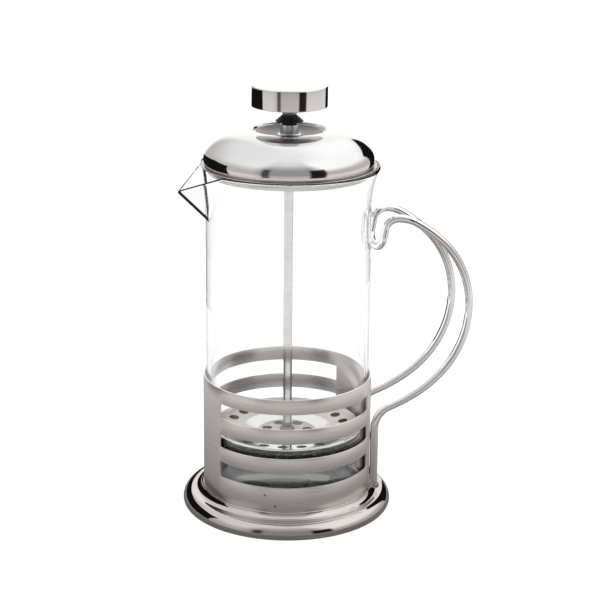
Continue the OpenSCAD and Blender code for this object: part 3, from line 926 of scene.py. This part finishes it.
def make_coil():
    """The sealing spring: a close coil bent into a ring."""
    steps = COIL_TURNS * 12
    path, normals = [], []
    for i in range(steps):
        a = 2 * math.pi * i / steps
        b = a * COIL_TURNS
        out = Vector((math.cos(a), math.sin(a), 0))
        spoke = math.cos(b) * out + math.sin(b) * Vector((0, 0, 1))
        path.append(out * COIL_PATH + Vector((0, 0, COIL_Z)) + spoke * (COIL_TUBE - COIL_WIRE))
        normals.append(spoke)
    bm = bmesh.new()
    sweep(bm, path, COIL_WIRE, 6, normals, closed=True)
    finish_mesh("sealing_coil", bm, "plunger", COIL_STEEL, ["spring_coil"], 80)


def make_mesh_disc():
    bottom, top, full = low("filter_mesh"), high("filter_mesh"), width("filter_mesh")
    outline = [(ROD_R, bottom), (full, bottom), (full, top), (ROD_R, top)]
    lathe("mesh_disc", outline, "plunger", WOVEN, ["filter_mesh"], 192)
    bottom, top, outer = low("mesh_hem"), high("mesh_hem"), width("mesh_hem")
    outline = [(full, bottom)] + arc(outer - 0.3, bottom + 0.3, 0.3, -90, 0, 6)
    outline += arc(outer - HEM_SHEET / 2, top - HEM_SHEET / 2, HEM_SHEET / 2, 0, 180, 6)
    outline += [(outer - HEM_SHEET, bottom + 0.3), (full, bottom + 0.3)]
    lathe("mesh_rim", outline, "plunger", BAND, ["mesh_hem"], 192)


def make_cross_plate():
    bottom, top, full = low("cross_plate"), high("cross_plate"), width("cross_plate")
    windows, window_angle, inner, outer = 8, 26, 11, 26.5
    pitch = 360 / windows
    stops = []
    for i in range(windows):
        begin = i * pitch + (pitch - window_angle) / 2
        stops += [begin, begin + window_angle]
    radii = [ROD_R, 6, inner, 16, 21, outer, full]

    def keep(angle, radius):
        inside = (pitch - window_angle) / 2 < angle % pitch < (pitch + window_angle) / 2
        return not (inside and inner < radius < outer)

    def place(angle, radius):
        a = math.radians(angle)
        return (radius * math.cos(a), radius * math.sin(a), top)

    bm = bmesh.new()
    sheet_of_cells(bm, angles_between(stops, 3), radii, keep, place)
    piece = finish_mesh("lower_cross_plate", bm, "plunger", FITTING, ["cross_plate"])
    if piece.data.polygons[0].normal.z < 0:
        piece.data.flip_normals()
    thicken(piece, top - bottom, 0.12, -1)


def make_collar():
    bottom, top, full = low("hub_collar"), high("hub_collar"), width("hub_collar")
    outline = [(ROD_R, bottom), (full, bottom)] + arc(full - 0.2, bottom + 1, 0.2, 0, 60, 4)
    outline += [(2.7, top), (ROD_R, top)]
    lathe("rod_collar", outline, "plunger", FITTING, ["hub_collar"], 96)


# ---------------------------------------------------------------- studio

FLOOR_RADIUS = 0.42
# Painted shadow: mirrored in the steel, the table is painted greyer near the object, from FLOOR_NEAR to
# FLOOR_FAR across FLOOR_FADE.
FLOOR_NEAR, FLOOR_FAR, FLOOR_FADE, FLOOR_WHITE = 0.22, 0.72, (0.05, 0.27), 0.95


def add_stage(name, bm, material):
    mesh = bpy.data.meshes.new(name)
    bm.to_mesh(mesh)
    bm.free()
    mesh.materials.append(material)
    piece = bpy.data.objects.new(name, mesh)
    bpy.context.scene.collection.objects.link(piece)
    return piece


def make_floor():
    """A plain white round table. Mirrored in the steel it is greyer, with a painted shadow that is darkest
    near the object.
    """
    bm = bmesh.new()
    bmesh.ops.create_circle(bm, cap_ends=True, segments=128, radius=FLOOR_RADIUS)
    material = bpy.data.materials.new("table_white")
    material.use_nodes = True
    nodes, links = material.node_tree.nodes, material.node_tree.links
    nodes.clear()
    coords = nodes.new("ShaderNodeTexCoord")
    distance = length_of(nodes, links, coords.outputs["Object"])
    painted_shadow = spread(nodes, links, distance, FLOOR_NEAR, FLOOR_FAR, *FLOOR_FADE)
    mirrored = nodes.new("ShaderNodeEmission")
    mirrored.inputs["Color"].default_value = (1, 0.975, 0.96, 1)
    links.new(painted_shadow, mirrored.inputs["Strength"])
    white = nodes.new("ShaderNodeEmission")
    white.inputs["Strength"].default_value = FLOOR_WHITE
    matt = nodes.new("ShaderNodeBsdfDiffuse")
    matt.inputs["Color"].default_value = (0.25, 0.25, 0.25, 1)
    direct = nodes.new("ShaderNodeAddShader")
    links.new(white.outputs["Emission"], direct.inputs[0])
    links.new(matt.outputs["BSDF"], direct.inputs[1])
    path = nodes.new("ShaderNodeLightPath")
    camera_ray, through_ray = path.outputs["Is Camera Ray"], path.outputs["Is Transmission Ray"]
    seen = combine(nodes, links, "MAXIMUM", camera_ray, through_ray)
    pick = nodes.new("ShaderNodeMixShader")
    links.new(seen, pick.inputs[0])
    links.new(mirrored.outputs["Emission"], pick.inputs[1])
    links.new(direct.outputs["Shader"], pick.inputs[2])
    output = nodes.new("ShaderNodeOutputMaterial")
    links.new(pick.outputs["Shader"], output.inputs["Surface"])
    add_stage("table", bm, material)


def make_cards():
    """Curved black cards beside the object, seen only in reflections."""
    material = bpy.data.materials.new("card_black")
    material.use_nodes = True
    shader = material.node_tree.nodes["Principled BSDF"]
    shader.inputs["Base Color"].default_value = (0.012, 0.012, 0.012, 1)
    shader.inputs["Roughness"].default_value = 0.9
    shader.inputs["Specular IOR Level"].default_value = 0.0
    for number, (begin, end, radius, edge, slant, top) in enumerate(CARDS):
        bm = bmesh.new()
        rows = []
        for i in range(25):
            a = math.radians(begin + (end - begin) * i / 24 - VIEW_TURN)
            x, y = radius * math.sin(a), -radius * math.cos(a)
            rows.append((bm.verts.new((x, y, 0.001)), bm.verts.new((x, y, min(top, edge + slant * i / 24)))))
        for (a, b), (c, d) in zip(rows, rows[1:]):
            bm.faces.new((a, c, d, b))
        card = add_stage(f"card_{number}", bm, material)
        card.visible_camera = False
        card.visible_transmission = False
        card.visible_diffuse = False
        card.visible_shadow = False


def make_world():
    """A white studio. In reflections it has graded walls and a few darker things in front of them."""
    world = bpy.data.worlds.new("studio")
    bpy.context.scene.world = world
    world.use_nodes = True
    nodes, links = world.node_tree.nodes, world.node_tree.links
    nodes.clear()

    def math_node(operation, a, b=None, c=None):
        node = nodes.new("ShaderNodeMath")
        node.operation = operation
        for socket, value in zip(node.inputs, (a, b, c)):
            if value is None:
                continue
            if isinstance(value, (int, float)):
                socket.default_value = value
            else:
                links.new(value, socket)
        return node.outputs["Value"]

    def smooth_step(value, start, stop):
        node = nodes.new("ShaderNodeMapRange")
        node.interpolation_type = "SMOOTHSTEP"
        node.inputs["From Min"].default_value = start
        node.inputs["From Max"].default_value = stop
        links.new(value, node.inputs["Value"])
        return node.outputs["Result"]

    coords = nodes.new("ShaderNodeTexCoord")
    split = nodes.new("ShaderNodeSeparateXYZ")
    turned = nodes.new("ShaderNodeVectorRotate")
    turned.rotation_type = "Z_AXIS"
    turned.inputs["Angle"].default_value = math.radians(VIEW_TURN)
    links.new(coords.outputs["Generated"], turned.inputs["Vector"])
    links.new(turned.outputs["Vector"], split.inputs["Vector"])
    x, y, z = split.outputs["X"], split.outputs["Y"], split.outputs["Z"]
    azimuth = math_node("MULTIPLY", math_node("ARCTAN2", x, math_node("MULTIPLY", y, -1)), 180 / math.pi)
    elevation = math_node("MULTIPLY", math_node("ARCSINE", z), 180 / math.pi)

    def ramp(low_value, high_value, start, stop):
        rise = smooth_step(elevation, start, stop)
        return math_node("ADD", math_node("MULTIPLY", rise, high_value - low_value), low_value)

    def blend(a, b, weight):
        return math_node("ADD", math_node("MULTIPLY", a, math_node("SUBTRACT", 1, weight)),
                         math_node("MULTIPLY", b, weight))

    aside = math_node("ABSOLUTE", azimuth)
    sides = blend(ramp(*LEFT_WALL), ramp(*RIGHT_WALL), smooth_step(azimuth, -15, 15))
    seen = blend(ramp(*FRONT_WALL), sides, smooth_step(aside, 30, 55))
    seen = blend(seen, ramp(*BACK_WALL), smooth_step(aside, 155, 166))
    seen = math_node("ADD", seen, math_node("MULTIPLY", smooth_step(elevation, -2, -12), LOW_GLOW))
    for az_from, az_to, el_from, el_to, depth, soft in DARK_PATCHES:
        inside = math_node("MULTIPLY", smooth_step(azimuth, az_from - soft, az_from + soft),
                           smooth_step(azimuth, az_to + soft, az_to - soft))
        inside = math_node("MULTIPLY", inside, smooth_step(elevation, el_from - soft, el_from + soft))
        inside = math_node("MULTIPLY", inside, smooth_step(elevation, el_to + 2 * soft, el_to - 2 * soft))
        seen = math_node("MULTIPLY", seen, math_node("SUBTRACT", 1, math_node("MULTIPLY", inside, depth)))
    path = nodes.new("ShaderNodeLightPath")
    direct = math_node("MAXIMUM", path.outputs["Is Camera Ray"], path.outputs["Is Transmission Ray"])
    seen = blend(seen, ZENITH, smooth_step(elevation, 60, 86))
    strength = blend(seen, DIRECT_WHITE, direct)
    tint = nodes.new("ShaderNodeMix")
    tint.data_type = "RGBA"
    tint.inputs["A"].default_value = (1, 0.965, 0.945, 1)
    tint.inputs["B"].default_value = (1, 1, 1, 1)
    links.new(math_node("MAXIMUM", direct, smooth_step(elevation, 5, 45)), tint.inputs["Factor"])
    background = nodes.new("ShaderNodeBackground")
    links.new(tint.outputs["Result"], background.inputs["Color"])
    links.new(strength, background.inputs["Strength"])
    output = nodes.new("ShaderNodeOutputWorld")
    links.new(background.outputs["Background"], output.inputs["Surface"])


def make_camera():
    data = bpy.data.cameras.new("camera")
    data.sensor_width = 36
    data.lens = LENS
    data.clip_start = 0.01
    camera = bpy.data.objects.new("camera", data)
    bpy.context.scene.collection.objects.link(camera)
    turn = math.radians(VIEW_TURN)
    place = Matrix.Translation((-VIEW_AWAY * math.sin(turn), -VIEW_AWAY * math.cos(turn), VIEW_HEIGHT))
    aim = Matrix.Rotation(math.radians(-VIEW_TURN - VIEW_PAN), 4, "Z")
    tilt = Matrix.Rotation(math.radians(90 - VIEW_PITCH), 4, "X")
    roll = Matrix.Rotation(math.radians(VIEW_ROLL), 4, "Z")
    camera.matrix_world = place @ aim @ tilt @ roll
    bpy.context.scene.camera = camera


# Camera: metres, millimetres of lens and degrees
VIEW_TURN, VIEW_PAN, VIEW_PITCH, VIEW_ROLL = 16.0, 0.412, 17.138, 0.589
VIEW_AWAY, VIEW_HEIGHT, LENS = 0.7402, 0.3241, 104.5

# Cards: azimuth from and to in degrees (0 is towards the camera, positive to its right), then in metres the
# distance, the height at the first edge, the rise across the card and the greatest height
CARDS = [(-166, -85, 0.308, 0.10, 0.2025, 0.23), (130, 157, 0.368, 0.313, 0, 0.313)]
# Walls of the studio: brightness at the horizon and overhead, and the elevations between which it rises
FRONT_WALL = (0.38, 0.95, 25, 88)
RIGHT_WALL = (0.60, 1.30, 6, 32)
LEFT_WALL = (0.60, 1.05, 8, 50)
BACK_WALL = (1.30, 1.20, 0, 50)
ZENITH = 1.05
# Extra light from below the horizon, past the edge of the table
LOW_GLOW = 0.24
# Brightness of the studio where it is seen directly or through the glass
DIRECT_WHITE = 1.12
# Darker things in front: azimuth from and to, elevation from and to, depth and softness
DARK_PATCHES = [(-37, -26, -30, 34, 0.8, 3), (28, 51, -30, 30, 0.97, 3)]

make_foot()
make_cage()
make_spot_welds()
make_handle()
make_handle_welds()
make_glass()
make_dome()
make_skirt()
make_bush()
hex_nut("guide_nut", "guide", "bush_nut", HOLE_R - 0.05)
make_knob()
make_rod()
make_plate()
make_coil()
make_mesh_disc()
make_cross_plate()
make_collar()
hex_nut("stack_nut", "plunger", "hub_nut", ROD_R)
make_floor()
make_cards()
make_world()
make_camera()

bpy.context.scene.view_settings.view_transform = "Standard"
bpy.context.scene.view_settings.look = "None"
